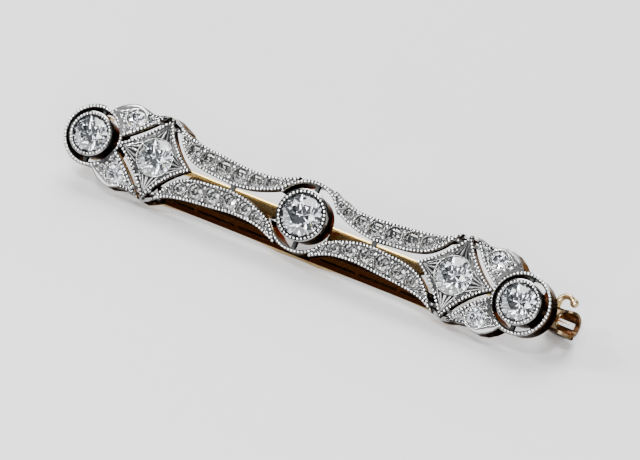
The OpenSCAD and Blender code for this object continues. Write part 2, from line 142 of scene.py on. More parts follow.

# Colours that metals mirror at a glancing angle. The frame's is kept nearly black as painted shade, so that
# its walls stay dark.
FRAME_EDGE = (0.12, 0.09, 0.06, 1.0)
TRIM_EDGE = (0.4, 0.4, 0.4, 1.0)
LEVER_EDGE = (0.5, 0.36, 0.2, 1.0)

# How the camera stands, in degrees: turned from the front, raised and tilted. It looks from a
# distance at a point, both in metres.
CAMERA_TURN = 23.537
CAMERA_RISE = 29.746
CAMERA_TILT = 9.348
CAMERA_DISTANCE = 0.5341
CAMERA_AIM = (0.0, 0.00025, 0.00309)

# A shape's relief, from 0 to 1 at each point, sets its painted shade: 0 takes the deep colour and 1 the
# raised colour.
Shape = namedtuple("Shape", "points quads triangles relief")


def joint(name):
    """What the frame says of a joint."""
    return next(row for row in FRAME["joints"] if row["name"] == name)


def lying_axes():
    """Unit vectors of the face as the brooch lies: along it, across it and out of it."""
    across = np.array(joint("pin_hinge")["axis"], float)
    across = across / np.linalg.norm(across)
    along = np.array([1.0, 0.0, 0.0])
    return np.stack([along, across, np.cross(along, across)])


def laid(points):
    """Flat millimetres to metres as the brooch lies: start at the hinge's axis, go x along the
    brooch, y along the hinge's axis and z square to both."""
    start = np.array(joint("pin_hinge")["pos_m"], float)
    return start + (np.asarray(points, float) - HINGE) @ lying_axes() / MM_PER_M


def domed(shape):
    """A shape given as x, y and height over the face, set on the dome: y and height turn about
    the dome's axis, so y grows with the height and z is what is left of the radius."""
    x, y, height = shape.points.T
    radius = DOME_R + height
    share = y / DOME_R
    z = CREST_Z - DOME_R + radius * np.sqrt(1 - share ** 2)
    return shape._replace(points=np.stack([x, radius * share, z], 1))


def level(shape, z):
    """A shape given as x, y and height, set on a level surface at z."""
    return shape._replace(points=shape.points + [0.0, 0.0, z])


def spline(knots, steps=12):
    """Catmull-Rom curve through the knots, each span cut in the same number of steps."""
    padded = np.concatenate([knots[:1], knots, knots[-1:]])
    a, b, c, d = (padded[k:len(padded) - 3 + k, None] for k in range(4))
    t = (np.arange(steps) / steps)[None, :, None]
    bent = (2 * b + (c - a) * t + (2 * a - 5 * b + 4 * c - d) * t ** 2
            + (3 * b - a - 3 * c + d) * t ** 3) / 2
    return np.concatenate([bent.reshape(-1, 2), knots[-1:]])


def bowed(p, q, bow, count=40):
    """Arc of a circle from p to q that bows by the given height to its left."""
    chord = np.linalg.norm(q - p)
    radius = (chord ** 2 / 4 + bow ** 2) / (2 * bow)
    unit = (q - p) / chord
    left = np.array([-unit[1], unit[0]])
    half = np.arcsin(chord / 2 / radius)
    angle = half * np.linspace(-1, 1, count)[:, None]
    return (p + q) / 2 + left * (bow - radius) + radius * (left * np.cos(angle) + unit * np.sin(angle))


def circle(centre, radius, start=0, end=354, count=60):
    """Points of an arc round a centre, from one angle to another in degrees, or round the whole
    circle in steps of six degrees."""
    angle = np.radians(np.linspace(start, end, count))
    return np.array(centre) + radius * np.stack([np.cos(angle), np.sin(angle)], 1)


def left_turned(steps):
    """Unit vectors square to steps, to their left."""
    steps = steps / np.linalg.norm(steps, axis=1, keepdims=True)
    return np.stack([-steps[:, 1], steps[:, 0]], 1)


def left_of(path):
    """Unit vectors to the left of a path at each of its points."""
    return left_turned(np.gradient(path, axis=0))


def spaced(path, spacing, skip=(0.0, 0.0), closed=False):
    """Points at equal distances along a path, as near to the spacing as a whole number allows,
    with a length skipped at its start and at its end."""
    if closed:
        path = np.concatenate([path, path[:1]])
    run = np.concatenate([[0.0], np.cumsum(np.linalg.norm(np.diff(path, axis=0), axis=1))])
    length = run[-1] - skip[0] - skip[1]
    count = max(1, round(length / spacing))
    at = skip[0] + length * np.arange(count + (not closed)) / count
    return np.stack([np.interp(at, run, path[:, k]) for k in range(2)], 1)


def inset(path, distance, side=1):
    """A path moved to its left by a distance, or to its right where side is -1."""
    return path + side * distance * left_of(path)


def outward(shape):
    """The shape with its faces turned outwards: turned round where its volume comes out negative."""
    p = shape.points
    corners = [shape.triangles, shape.quads[:, [0, 1, 2]], shape.quads[:, [0, 2, 3]]]
    a, b, c = (p[np.concatenate(corners)[:, k]] for k in range(3))
    if np.einsum("ij,ij->i", a, np.cross(b, c)).sum() < 0:
        return shape._replace(quads=shape.quads[:, ::-1], triangles=shape.triangles[:, ::-1])
    return shape


def joined(shapes):
    """One shape of several, with the faces' numbers counted on."""
    starts = np.cumsum([0] + [len(s.points) for s in shapes[:-1]])
    return Shape(
        np.concatenate([s.points for s in shapes]),
        np.concatenate([s.quads + k for s, k in zip(shapes, starts)]),
        np.concatenate([s.triangles + k for s, k in zip(shapes, starts)]),
        np.concatenate([s.relief for s in shapes]))


def mirrored(shape, along, across):
    """The shape mirrored in x and y by the two signs, its faces turned round where one is."""
    image = shape._replace(points=shape.points * [along, across, 1])
    if along * across < 0:
        return image._replace(quads=image.quads[:, ::-1], triangles=image.triangles[:, ::-1])
    return image


def quarters(shape):
    """The shape in all four quarters of the face."""
    return joined([mirrored(shape, x, y) for x in (1, -1) for y in (1, -1)])


def halves(shape):
    """The shape at the right and at the left."""
    return joined([shape, mirrored(shape, -1, 1)])


def grid_quads(rows, columns, round_rows=False, round_columns=True):
    """Quads of a grid of rows and columns, which may close on themselves."""
    i, j = np.meshgrid(np.arange(rows if round_rows else rows - 1),
                       np.arange(columns if round_columns else columns - 1), indexing="ij")
    i, j = i.ravel(), j.ravel()
    row, next_row = i * columns, (i + 1) % rows * columns
    next_j = (j + 1) % columns
    return np.stack([row + j, row + next_j, next_row + next_j, next_row + j], 1)


def fan(first, count):
    """Triangles that close a ring of points, all from its first one."""
    j = np.arange(1, count - 1)
    return np.stack([np.full(count - 2, first), first + j, first + j + 1], 1)


def rising(points):
    """Relief that runs from 0 at the lowest of the points to 1 at the highest, so a piece gets painted shade
    low down and its full colour on top.
    """
    z = points[:, 2]
    return (z - z.min()) / (z.max() - z.min())


def carried(path, profile):
    """A closed profile of across and height carried along a path: each point is the path's, moved
    to its left by the profile's across and set at the profile's height."""
    flat = path[:, None] + profile[:, :1] * left_of(path)[:, None]
    height = np.broadcast_to(profile[:, 1:], (len(path), len(profile), 1))
    points = np.concatenate([flat, height], 2).reshape(-1, 3)
    count = len(profile)
    ends = np.concatenate([fan(0, count)[:, ::-1], fan(len(points) - count, count)])
    return outward(Shape(points, grid_quads(len(path), count), ends, rising(points)))


def turned(profile, segments, poles=True):
    """A profile of radius and height turned round an upright axis. With poles its first and last
    points lie on the axis; without, the profile is a closed loop."""
    angle = 2 * np.pi * np.arange(segments) / segments
    ring = profile[1:-1] if poles else profile
    spread = ring[:, None, 0]
    height = np.broadcast_to(ring[:, None, 1], (len(ring), segments))
    points = np.stack([spread * np.cos(angle), spread * np.sin(angle), height], 2).reshape(-1, 3)
    ends = np.zeros((0, 3), int)
    quads = grid_quads(len(ring), segments, not poles)
    if poles:
        points = np.concatenate([points, [[0, 0, profile[0, 1]], [0, 0, profile[-1, 1]]]])
        j = np.arange(segments)
        k = (j + 1) % segments
        foot, top = len(points) - 2, len(points) - 1
        last = (len(ring) - 1) * segments
        ends = np.concatenate([np.stack([np.full(segments, foot), k, j], 1),
                               np.stack([np.full(segments, top), last + j, last + k], 1)])
    return outward(Shape(points, quads, ends, rising(points)))


def slab(flat, top):
    """A grid of x, y with its own top heights, closed by a level underside and its four sides. Its relief
    grows with the top's height, so lower parts of the top get more painted shade and the underside the most."""
    rows, columns = top.shape
    count = rows * columns
    under = np.full((rows, columns, 1), SUNK)
    points = np.concatenate([np.concatenate([flat, z], 2).reshape(-1, 3) for z in (top[..., None], under)])
    quads = grid_quads(rows, columns, round_columns=False)
    index = np.arange(count).reshape(rows, columns)
    edge = np.concatenate([index[0, :-1], index[:-1, -1], index[-1, :0:-1], index[:0:-1, 0]])
    after = np.roll(edge, -1)
    sides = np.stack([edge, edge + count, after + count, after], 1)
    relief = np.concatenate([np.clip(0.35 + top.ravel() * 5, 0, 1), np.zeros(count)])
    return outward(Shape(points, np.concatenate([quads, quads[:, ::-1] + count, sides]),
                         np.zeros((0, 3), int), relief))


def with_painted_shade(shape, share):
    """The shape with its relief taken down to a share of what it was, which gives it more painted shade."""
    return shape._replace(relief=shape.relief * share)


def copies(unit, places, sizes, heights=0.0, stretch=1.0, angles=0.0):
    """Copies of a unit shape at places on the face: scaled, stretched along their own x, turned
    by their angles and set at their heights."""
    count = len(places)
    sizes = np.broadcast_to(sizes, count)[:, None]
    angles = np.broadcast_to(angles, count)[:, None]
    x = unit.points[:, 0] * sizes * stretch
    y = unit.points[:, 1] * sizes
    points = np.stack([places[:, :1] + x * np.cos(angles) - y * np.sin(angles),
                       places[:, 1:2] + x * np.sin(angles) + y * np.cos(angles),
                       unit.points[:, 2] * sizes + np.broadcast_to(heights, count)[:, None]], 2)
    step = (np.arange(count) * len(unit.points))[:, None, None]
    return Shape(points.reshape(-1, 3), (unit.quads + step).reshape(-1, 4),
                 (unit.triangles + step).reshape(-1, 3), np.tile(unit.relief, count))


def brilliant():
    """Old-cut round stone one unit across, its girdle at height 0: a ring of eight for the table,
    one for the shoulder, two of sixteen for the girdle, one of eight low on the back and a point,
    joined by triangles from ring to ring."""
    eight = np.radians(45 * np.arange(8))
    sixteen = np.radians(22.5 * np.arange(16))

    def ring(angle, radius, height):
        return np.stack([radius * np.cos(angle), radius * np.sin(angle), np.full(len(angle), height)], 1)

    points = np.concatenate([
        ring(eight + np.radians(22.5), 0.26, 0.16), ring(eight, 0.395, 0.085), ring(sixteen, 0.5, 0.0),
        ring(sixteen, 0.5, -0.03), ring(eight, 0.17, -0.34), [[0, 0, -0.46], [0, 0, 0.16]]])
    table, shoulder, girdle, under, back, culet, middle = 0, 8, 16, 32, 48, 56, 57
    k = np.arange(8)
    j = np.arange(16)
    after, before, next_j = (k + 1) % 8, (k + 7) % 8, (j + 1) % 16
    even, odd, last = 2 * k, 2 * k + 1, (2 * k + 15) % 16
    rows = [(middle, table + k, table + after), (table + before, table + k, shoulder + k),
            (table + k, girdle + odd, shoulder + k), (table + k, shoulder + after, girdle + odd),
            (shoulder + k, girdle + even, girdle + last), (shoulder + k, girdle + odd, girdle + even),
            (girdle + j, girdle + next_j, under + next_j), (girdle + j, under + next_j, under + j),
            (back + k, under + last, under + even), (back + k, under + even, under + odd),
            (culet, back + k, under + odd), (culet, under + odd, back + after)]
    triangles = np.concatenate([np.stack(np.broadcast_arrays(*row), 1) for row in rows])
    a, b, c = (points[triangles[:, n]] for n in range(3))
    facing = np.einsum("ij,ij->i", np.cross(b - a, c - a), (a + b + c) / 3 + [0, 0, 0.1])
    triangles[facing < 0] = triangles[facing < 0][:, ::-1]
    return Shape(points, np.zeros((0, 4), int), triangles, np.ones(len(points)))


def piece(name, shape, finish="Worked platinum with painted shade", smooth=True):
    """Makes a mesh piece of a flat shape, lays it in place and lets it ride on the brooch."""
    mesh = bpy.data.meshes.new(name)
    mesh.from_pydata(laid(shape.points).tolist(), [], shape.quads.tolist() + shape.triangles.tolist())
    relief = mesh.attributes.new("relief", "FLOAT", "POINT")
    relief.data.foreach_set("value", shape.relief.astype(np.float32))
    mesh.polygons.foreach_set("use_smooth", np.full(len(mesh.polygons), smooth))
    mesh.materials.append(finishes()[finish])
    made = bpy.data.objects.new(name, mesh)
    bpy.context.scene.collection.objects.link(made)
    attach(made, "brooch")


# A bead and a loose grain, one unit in radius, as profiles of radius and height.
BEAD = turned(np.array([[0, -0.5], [0.8, -0.5], [1.0, 0.1], [0.82, 0.62], [0.45, 0.92], [0, 1.0]]), 8)
GRAIN = turned(np.array(
    [[0, -0.6], [0.9, -0.6], [1.0, 0.0], [0.9, 0.5], [0.62, 0.82], [0.3, 0.97], [0, 1.0]]), 12)


def face_sizes():
    """The sizes that a user may change, by name and in millimetres."""
    sizes = bpy.context.scene.brooch_sizes
    return SimpleNamespace(
        **{label: getattr(sizes, label) * MM_PER_M for label in BroochSizes.__annotations__})


def bead_row(places):
    """Beads at places, half sunk in their thread. They grow smaller towards the upper and lower
    tips of the stars, leaves and arms, evenly with y over the taper."""
    sizes = face_sizes()
    tip, taper, least = 4.75, 0.9, 0.35
    share = np.clip((tip - np.abs(places[:, 1])) / taper, least, 1.0)
    return copies(BEAD, places, sizes.bead_radius * share, sizes.thread_height * 0.8 * share)


def beaded(path, side=1, skip=(0.0, 0.0)):
    """A border along an edge: a low thread just inside it, with painted shade so that it reads darker than
    its beads, and a row of beads on the thread.
    """
    sizes = face_sizes()
    half, top = sizes.thread_width / 2, sizes.thread_height
    middle = inset(path, half + 0.02, side)
    profile = np.array([[-half, -0.1], [half, -0.1], [half, top * 0.6], [half * 0.7, top],
                        [-half * 0.7, top], [-half, top * 0.6]])
    thread = with_painted_shade(carried(spaced(middle, 0.12, skip), profile), 0.35)
    places = spaced(middle, sizes.bead_spacing, (skip[0] + 0.1, skip[1] + 0.1))
    return joined([thread, bead_row(places)])


# What all the lengths and all the colours that a user may change have in common.
LENGTH = {"unit": "LENGTH", "precision": 6}
TINT = {"min": 0, "max": 1, "subtype": "COLOR"}


class BroochSizes(bpy.types.PropertyGroup):
    """Sizes of what is worked on the brooch's face."""

    bead_spacing: bpy.props.FloatProperty(
        name="Bead spacing", description="Distance between the beads of a border",
        default=0.00039, min=0.0002, **LENGTH)
    bead_radius: bpy.props.FloatProperty(
        name="Bead radius", description="Radius of a border's beads",
        default=0.00017, min=0.00005, **LENGTH)
    thread_width: bpy.props.FloatProperty(
        name="Thread width", description="Width of the thread that the beads stand on",
        default=0.0003, min=0.0001, **LENGTH)
    thread_height: bpy.props.FloatProperty(
        name="Thread height", description="Height of that thread over the face",
        default=0.00006, min=0.00002, **LENGTH)
    rim_width: bpy.props.FloatProperty(
        name="Seat rim width", description="Width of the rim round a stone in the face",
        default=0.00011, min=0.00005, **LENGTH)
    rim_height: bpy.props.FloatProperty(
        name="Seat rim height", description="Height of that rim over the face",
        default=0.0001, min=0.00002, **LENGTH)


class BroochColours(bpy.types.PropertyGroup):
    """Colours of the brooch's metals and stones, and of the painted shade and painted reflection on its
    metals.
    """

    platinum: bpy.props.FloatVectorProperty(
        name="Platinum", description="Raised, polished platinum", default=(0.84, 0.84, 0.83), **TINT)
    # Painted shade: the colour that platinum takes in hollows and between beads.
    platinum_painted_shade: bpy.props.FloatVectorProperty(
        name="Deep platinum", description="Platinum in hollows and between beads",
        default=(0.010, 0.0098, 0.0095), **TINT)
    gold: bpy.props.FloatVectorProperty(
        name="Gold", description="Polished yellow gold", default=(0.90, 0.69, 0.40), **TINT)
    # Partly painted highlight: the stem's own gold, made brighter and yellower than the frame's to stand in
    # for its highlight.
    stem_gold_with_highlight: bpy.props.FloatVectorProperty(
        name="Stem gold", description="Bright yellow gold of the stem and its rivet",
        default=(0.93, 0.72, 0.29), **TINT)
    # Painted shade: the colour that gold takes in hollows, in pierced lines and on its walls.
    gold_painted_shade: bpy.props.FloatVectorProperty(
        name="Deep gold", description="Gold in hollows and pierced lines",
        default=(0.062, 0.036, 0.020), **TINT)
    # Painted reflection: the copper colour that gold inside the ring gaps and the catch takes, for its
    # reflection of itself.
    painted_copper_reflection: bpy.props.FloatVectorProperty(
        name="Inner gold", description="Gold inside the ring gaps and the catch, which mirrors itself",
        default=(0.80, 0.41, 0.20), **TINT)
    diamond: bpy.props.FloatVectorProperty(
        name="Diamond", description="Body colour of the large diamonds", default=(0.95, 0.975, 1.0), **TINT)
    diamond_shade: bpy.props.FloatVectorProperty(
        name="Diamond shade", description="Second tint of the large diamonds",
        default=(0.88, 0.915, 1.0), **TINT)
    # Painted shade: the arms' small diamonds get a grey body colour, much darker than the large ones, so
    # that they read grey.
    old_cut: bpy.props.FloatVectorProperty(
        name="Old-cut diamond", description="Body colour of the arms' small diamonds",
        default=(0.48, 0.485, 0.47), **TINT)
    old_cut_shade: bpy.props.FloatVectorProperty(
        name="Old-cut shade", description="Second tint of the arms' small diamonds",
        default=(0.31, 0.315, 0.30), **TINT)


class BroochStage(bpy.types.PropertyGroup):
    """Floor and lights round the brooch."""

    floor: bpy.props.FloatVectorProperty(
        name="Floor", description="Colour of the plain floor", default=(0.66, 0.66, 0.67), **TINT)
    room_colour: bpy.props.FloatVectorProperty(
        name="Room colour", description="Colour of the room's light", default=(0.92, 0.96, 1.0), **TINT)
    room: bpy.props.FloatProperty(
        name="Room light", description="Brightness of the room round the brooch", default=0.16, min=0)
    key: bpy.props.FloatProperty(
        name="Key light", description="Strength of the large softbox", default=6.0, min=0, unit="POWER")
    front: bpy.props.FloatProperty(
        name="Front light", description="Strength of the softbox before the face",
        default=2.6, min=0, unit="POWER")
    fill: bpy.props.FloatProperty(
        name="Fill light", description="Strength of each side softbox", default=1.4, min=0, unit="POWER")
    sparkle: bpy.props.FloatProperty(
        name="Sparkle light", description="Strength of each small lamp", default=1.5, min=0, unit="POWER")


class Wiring:
    """Short calls that add and join the nodes of one tree. Where a call takes a value, that is a
    number, a colour or the socket that it comes from."""

    def __init__(self, tree):
        self.tree = tree

    def add(self, kind, **settings):
        """A new node with its settings."""
        node = self.tree.nodes.new(kind)
        for label, value in settings.items():
            setattr(node, label, value)
        return node

    def put(self, socket, value):
        """Sets a value on a socket or links it there."""
        if isinstance(value, bpy.types.NodeSocket):
            self.tree.links.new(value, socket)
        else:
            socket.default_value = value

    def math(self, operation, *values, clamp=False):
        """One step of arithmetic on up to three values."""
        node = self.add("ShaderNodeMath", operation=operation, use_clamp=clamp)
        for socket, value in zip(node.inputs, values):
            self.put(socket, value)
        return node.outputs[0]

    def fold(self, operation, *values):
        """The same step of arithmetic all along a row of values."""
        return reduce(lambda a, b: self.math(operation, a, b), values)

    def vector(self, operation, a, b, output="Vector"):
        """One step of arithmetic on two vectors."""
        node = self.add("ShaderNodeVectorMath", operation=operation)
        self.put(node.inputs[0], a)
        self.put(node.inputs[1], b)
        return node.outputs[output]

    def along(self, vector, axis):
        """How far a vector goes along an axis."""
        return self.vector("DOT_PRODUCT", vector, tuple(axis), "Value")

    def length(self, a, b):
        """How far off a point is that lies a one way and b square to that."""
        squares = self.math("ADD", self.math("MULTIPLY", a, a), self.math("MULTIPLY", b, b))
        return self.math("SQRT", squares)

    def inward(self, x, y, normal_x, normal_y):
        """1 where a wall at x, y from an axis faces that axis, else 0."""
        along = self.math("MULTIPLY", x, normal_x)
        across = self.math("MULTIPLY", y, normal_y)
        cosine = self.math("DIVIDE", self.math("ADD", along, across), self.length(x, y))
        return self.ramp(cosine, -0.6, -0.4, 1.0, 0.0)

    def ramp(self, value, low, high, to_low=0.0, to_high=1.0):
        """A smooth step from to_low, where the value is low, to to_high, where it is high."""
        node = self.add("ShaderNodeMapRange", interpolation_type="SMOOTHSTEP")
        for label, given in (("Value", value), ("From Min", low), ("From Max", high),
                             ("To Min", to_low), ("To Max", to_high)):
            self.put(node.inputs[label], given)
        return node.outputs["Result"]

    def over(self, value, span, to_low=0.0, to_high=1.0):
        """The same step over a span in millimetres."""
        low, high = (end / MM_PER_M for end in span)
        return self.ramp(value, low, high, to_low, to_high)

    def mix(self, share, a, b):
        """Colour a where the share is 0 and colour b where it is 1."""
        node = self.add("ShaderNodeMix", data_type="RGBA")
        self.put(node.inputs[0], share)
        self.put(node.inputs[6], a)
        self.put(node.inputs[7], b)
        return node.outputs[2]

    def noise(self, place, scale, detail=2.0):
        """Cloudy noise from 0 to 1, with the scale in clouds to the metre."""
        node = self.add("ShaderNodeTexNoise")
        self.put(node.inputs["Vector"], place)
        node.inputs["Scale"].default_value = scale
        node.inputs["Detail"].default_value = detail
        return node.outputs["Fac"]


def worked_metal():
    """Group for metal that keeps its raised colour where it is raised and takes a painted shade colour in
    its hollows. Its relief runs from 0 to 1 and is unsettled a little by noise. Colour and roughness follow
    it, and a fine grain of tool marks adds to the roughness and gives the height."""
    name = "Worked metal with painted shade"
    if name in bpy.data.node_groups:
        return bpy.data.node_groups[name]
    group = bpy.data.node_groups.new(name, "ShaderNodeTree")
    for way, label, kind in (("INPUT", "Raised", "Color"), ("INPUT", "Deep", "Color"),
                             ("INPUT", "Relief", "Float"), ("INPUT", "Unevenness", "Float"),
                             ("OUTPUT", "Colour", "Color"), ("OUTPUT", "Roughness", "Float"),
                             ("OUTPUT", "Height", "Float")):
        group.interface.new_socket(label, in_out=way, socket_type="NodeSocket" + kind)
    wire = Wiring(group)
    given = wire.add("NodeGroupInput")
    out = wire.add("NodeGroupOutput")
    place = wire.add("ShaderNodeTexCoord").outputs["Object"]
    cloud = wire.noise(place, 2300.0, detail=3.0)
    grain = wire.noise(place, 9000.0)
    unsettled = wire.math("MULTIPLY", wire.math("SUBTRACT", cloud, 0.5), given.outputs["Unevenness"])
    share = wire.ramp(wire.math("ADD", given.outputs["Relief"], unsettled), 0.3, 0.95)
    # Painted shade: the colour runs from the Deep colour where the relief is low to the Raised colour where
    # it is high.
    wire.put(out.inputs["Colour"], wire.mix(share, given.outputs["Deep"], given.outputs["Raised"]))
    hollow_roughness, raised_roughness = 0.25, 0.16
    rough = wire.ramp(share, 0.0, 1.0, hollow_roughness, raised_roughness)
    spread = wire.math("MULTIPLY_ADD", grain, 0.12, -0.05)
    wire.put(out.inputs["Roughness"], wire.math("ADD", rough, spread, clamp=True))
    wire.put(out.inputs["Height"], grain)
    return group


def new_material(name, plain):
    """The wiring and the shader of a new material, with what is the same all over it given by the
    shader's socket names."""
    material = bpy.data.materials.new(name)
    material.use_nodes = True
    shader = material.node_tree.nodes["Principled BSDF"]
    for label, value in plain.items():
        shader.inputs[label].default_value = value
    return Wiring(material.node_tree), shader


def metal(name, edge, relief, bump=0.12, satin=0.0):
    """A metal whose two colours, relief and unevenness are what relief() wires. Edge is the colour
    that it mirrors at a glancing angle, bump is the strength of its tool marks, and satin is added
    to its roughness."""
    wire, shader = new_material(name, {"Metallic": 1.0, "Specular Tint": edge})
    group = wire.add("ShaderNodeGroup", node_tree=worked_metal())
    for socket, value in zip(group.inputs, relief(wire)):
        wire.put(socket, value)
    tool_marks = wire.add("ShaderNodeBump")
    tool_marks.inputs["Strength"].default_value = bump
    tool_marks.inputs["Distance"].default_value = 0.00002
    wire.put(tool_marks.inputs["Height"], group.outputs["Height"])
    wire.put(shader.inputs["Base Color"], group.outputs["Colour"])
    wire.put(shader.inputs["Roughness"], wire.math("ADD", group.outputs["Roughness"], satin, clamp=True))
    wire.put(shader.inputs["Normal"], tool_marks.outputs["Normal"])


def own_relief(paint):
    """Wiring of the trim's metal, whose relief is stored in each piece and sets its painted shade."""

    def relief(wire):
        attribute = wire.add("ShaderNodeAttribute", attribute_name="relief")
        return paint.platinum, paint.platinum_painted_shade, attribute.outputs["Fac"], 0.6

    return relief


def front_and_back(paint):
    """Wiring of the frame's metal: platinum near the domed face and on whatever faces forward there, gold
    behind it. The height over the dome is the distance from the dome's axis less its radius. Gold gets
    painted shade in the pierced lines and on the walls, and painted highlights along their back edges, on
    what faces up or back and on the hinge. Deep in the ring gaps and inside the catch it gets a painted
    copper reflection of itself, and the catch gets more painted shade than the hinge. The platinum face gets
    painted shade as well."""
    axes = lying_axes()
    dome_axis = laid([[0.0, 0.0, CREST_Z - DOME_R]])[0]

    def relief(wire):
        place = wire.add("ShaderNodeTexCoord")
        here, normal = place.outputs["Object"], place.outputs["Normal"]
        from_dome = wire.vector("SUBTRACT", here, tuple(dome_axis))
        from_catch = wire.vector("SUBTRACT", here, tuple(joint("catch_turn")["pos_m"]))
        x, y, z = (wire.along(from_dome, axis) for axis in axes)
        catch_y, catch_z = (wire.along(from_catch, axis) for axis in axes[1:])
        normal_y, normal_z = (wire.along(normal, axis) for axis in axes[1:])
        to_either_end = wire.math("ABSOLUTE", x)
        height = wire.math("SUBTRACT", wire.length(y, z), DOME_R / MM_PER_M)

        # Where the metal is platinum.
        forward = wire.math("MULTIPLY", wire.ramp(normal_z, 0.5, 0.7), wire.over(height, FORWARD_FACES))
        platinum = wire.math("MAXIMUM", wire.over(height, SKIN), forward)

        # Where gold gets a painted reflection of itself.
        ring_x = wire.math("SUBTRACT", to_either_end, END_X / MM_PER_M)
        ring_y = wire.math("ADD", y, RING_DROP / MM_PER_M)
        in_ring = wire.over(wire.length(ring_x, ring_y), RING_GAP, 1.0, 0.0)
        in_centre = wire.over(wire.length(x, y), CENTRE_GAP, 1.0, 0.0)
        far_down = wire.over(height, GAP_DEPTH, 1.0, 0.0)
        before_back = wire.over(height, BACK)
        in_gap = wire.fold("MULTIPLY", wire.math("MAXIMUM", in_ring, in_centre), far_down, before_back)
        in_catch = wire.over(wire.length(catch_y, catch_z), CATCH_BORE, 1.0, 0.0)
        in_catch = wire.math("MULTIPLY", in_catch, wire.inward(catch_y, catch_z, normal_y, normal_z))
        inside = wire.math("MAXIMUM", in_gap, in_catch)

        # The colours there: the metal's own where it is raised, and painted shade where it is deep.
        gold = wire.mix(inside, paint.gold, paint.painted_copper_reflection)
        raised = wire.mix(platinum, gold, paint.platinum)
        deep = wire.mix(platinum, paint.gold_painted_shade, paint.platinum_painted_shade)

        # How bright it is painted, from 0 for painted shade to 1 for full colour and painted highlight, and
        # how far that wanders.
        # Painted shade on the walls: darkest near the face, a little lighter further back.
        walls = wire.over(height, WALLS, *WALLS_SHINE)
        # A faint painted sheen high on the walls, along the arms only.
        flanks = wire.over(height, FLANKS, *FLANKS_SHINE)
        flanks = wire.math("MULTIPLY", flanks, wire.over(to_either_end, ARMS_END, 1.0, 0.0))
        # Painted highlight on the back edges, where the frame lies furthest back.
        back_edge = wire.over(z, BACK_EDGE, *BACK_EDGE_SHINE)
        # Gold that faces up or back is painted bright, and gold that faces forward keeps its painted shade.
        away = wire.math("MAXIMUM", wire.ramp(normal_z, -0.7, -0.4, 0.72, 0.0), normal_y)
        away = wire.ramp(away, 0.3, 0.7, *AWAY_SHINE)
        # Painted reflection: gold inside the gaps and the catch is painted as if it mirrored itself.
        mirrored_gold = wire.math("MULTIPLY", inside, INSIDE_SHINE)
        shine = wire.fold("MAXIMUM", walls, flanks, back_edge, away, mirrored_gold)
        # Painted shade on the catch below the back, and more in its bore.
        on_catch = wire.math("MULTIPLY", wire.over(x, CATCH_START), wire.over(height, BACK, *CATCH_SHADE))
        shade = wire.math("MAXIMUM", on_catch, wire.math("MULTIPLY", in_catch, BORE_SHADE))
        shine = wire.math("SUBTRACT", shine, shade)
        # Platinum adds only a little to that, so its face gets painted shade between the pieces laid on it.
        amount = wire.math("MULTIPLY_ADD", platinum, PLATINUM_SHINE, shine)
        unevenness = wire.math("MULTIPLY_ADD", wire.math("MAXIMUM", platinum, inside), 0.35, 0.1)
        return raised, deep, amount, unevenness

    return relief


def glass(name, colour, second, scale):
    """Clear cut stone: light passes and bends as in diamond, and its body colour wanders between
    two tints from place to place, with the scale in clouds to the metre."""
    wire, shader = new_material(
        name, {"Metallic": 0.0, "Roughness": 0.0, "IOR": 2.42, "Transmission Weight": 1.0})
    place = wire.add("ShaderNodeTexCoord").outputs["Object"]
    share = wire.ramp(wire.noise(place, scale, detail=1.0), 0.35, 0.65)
    wire.put(shader.inputs["Base Color"], wire.mix(share, colour, second))


def finishes():
    """The brooch's finishes by name, made once."""
    if "Platinum front" not in bpy.data.materials:
        colours = bpy.context.scene.brooch_colours
        paint = SimpleNamespace(
            **{label: (*getattr(colours, label), 1.0) for label in BroochColours.__annotations__})
        # Painted shade: the stem's gold and the lever's are mixed towards the deep gold by their relief, the
        # lever's much more.
        stem = (paint.stem_gold_with_highlight, paint.gold_painted_shade, 0.95, 0.2)
        lever = (paint.gold, paint.gold_painted_shade, 0.66, 0.2)
        metal("Platinum front", FRAME_EDGE, front_and_back(paint))
        metal("Worked platinum with painted shade", TRIM_EDGE, own_relief(paint))
        metal("Gold", paint.stem_gold_with_highlight, lambda wire: stem, bump=0.03, satin=0.04)
        metal("Lever gold", LEVER_EDGE, lambda wire: lever, bump=0.06, satin=0.04)
        glass("Diamond", paint.diamond, paint.diamond_shade, 1500.0)
        glass("Old-cut diamond", paint.old_cut, paint.old_cut_shade, 1900.0)
    return bpy.data.materials


class BROOCH_OT_solids(bpy.types.Operator):
    """Gives each solid of the brooch its metal or its stone"""

    bl_idname = "brooch.solids"
    bl_label = "Finish the solids"

    def execute(self, context):
        by_slot = {"platinum": "Platinum front", "gold": "Gold", "diamond": "Diamond",
                   "old_cut_diamond": "Old-cut diamond"}
        for row in FRAME["record"]["subparts"]:
            materials = FRAME["nodes"][row["node"]].data.materials
            finish = "Lever gold" if row["node"] == "catch_lever" else by_slot[row["material_slot"]]
            materials.clear()
            materials.append(finishes()[finish])
        return {"FINISHED"}


class BROOCH_OT_arm_borders(bpy.types.Operator):
    """Beaded borders along both edges of the four arms"""

    bl_idname = "brooch.arm_borders"
    bl_label = "Arm borders"

    def execute(self, context):
        outer = beaded(spline(ARM_OUTER_EDGE), skip=(0.22, 0.1))
        inner = beaded(spline(ARM_INNER_EDGE), skip=(0.5, 0.75))
        piece("arm_borders", quarters(domed(joined([outer, inner]))))
        return {"FINISHED"}


class BROOCH_OT_star_borders(bpy.types.Operator):
    """Beaded borders along the hollow sides of the two stars"""

    bl_idname = "brooch.star_borders"
    bl_label = "Star borders"

    def execute(self, context):
        edges = [bowed(STAR_TIPS[k], STAR_TIPS[(k + 1) % 4], -STAR_BOW) for k in range(4)]
        shape = joined([beaded(edge, side=-1, skip=(0.12, 0.12)) for edge in edges])
        piece("star_borders", halves(domed(shape)))
        return {"FINISHED"}


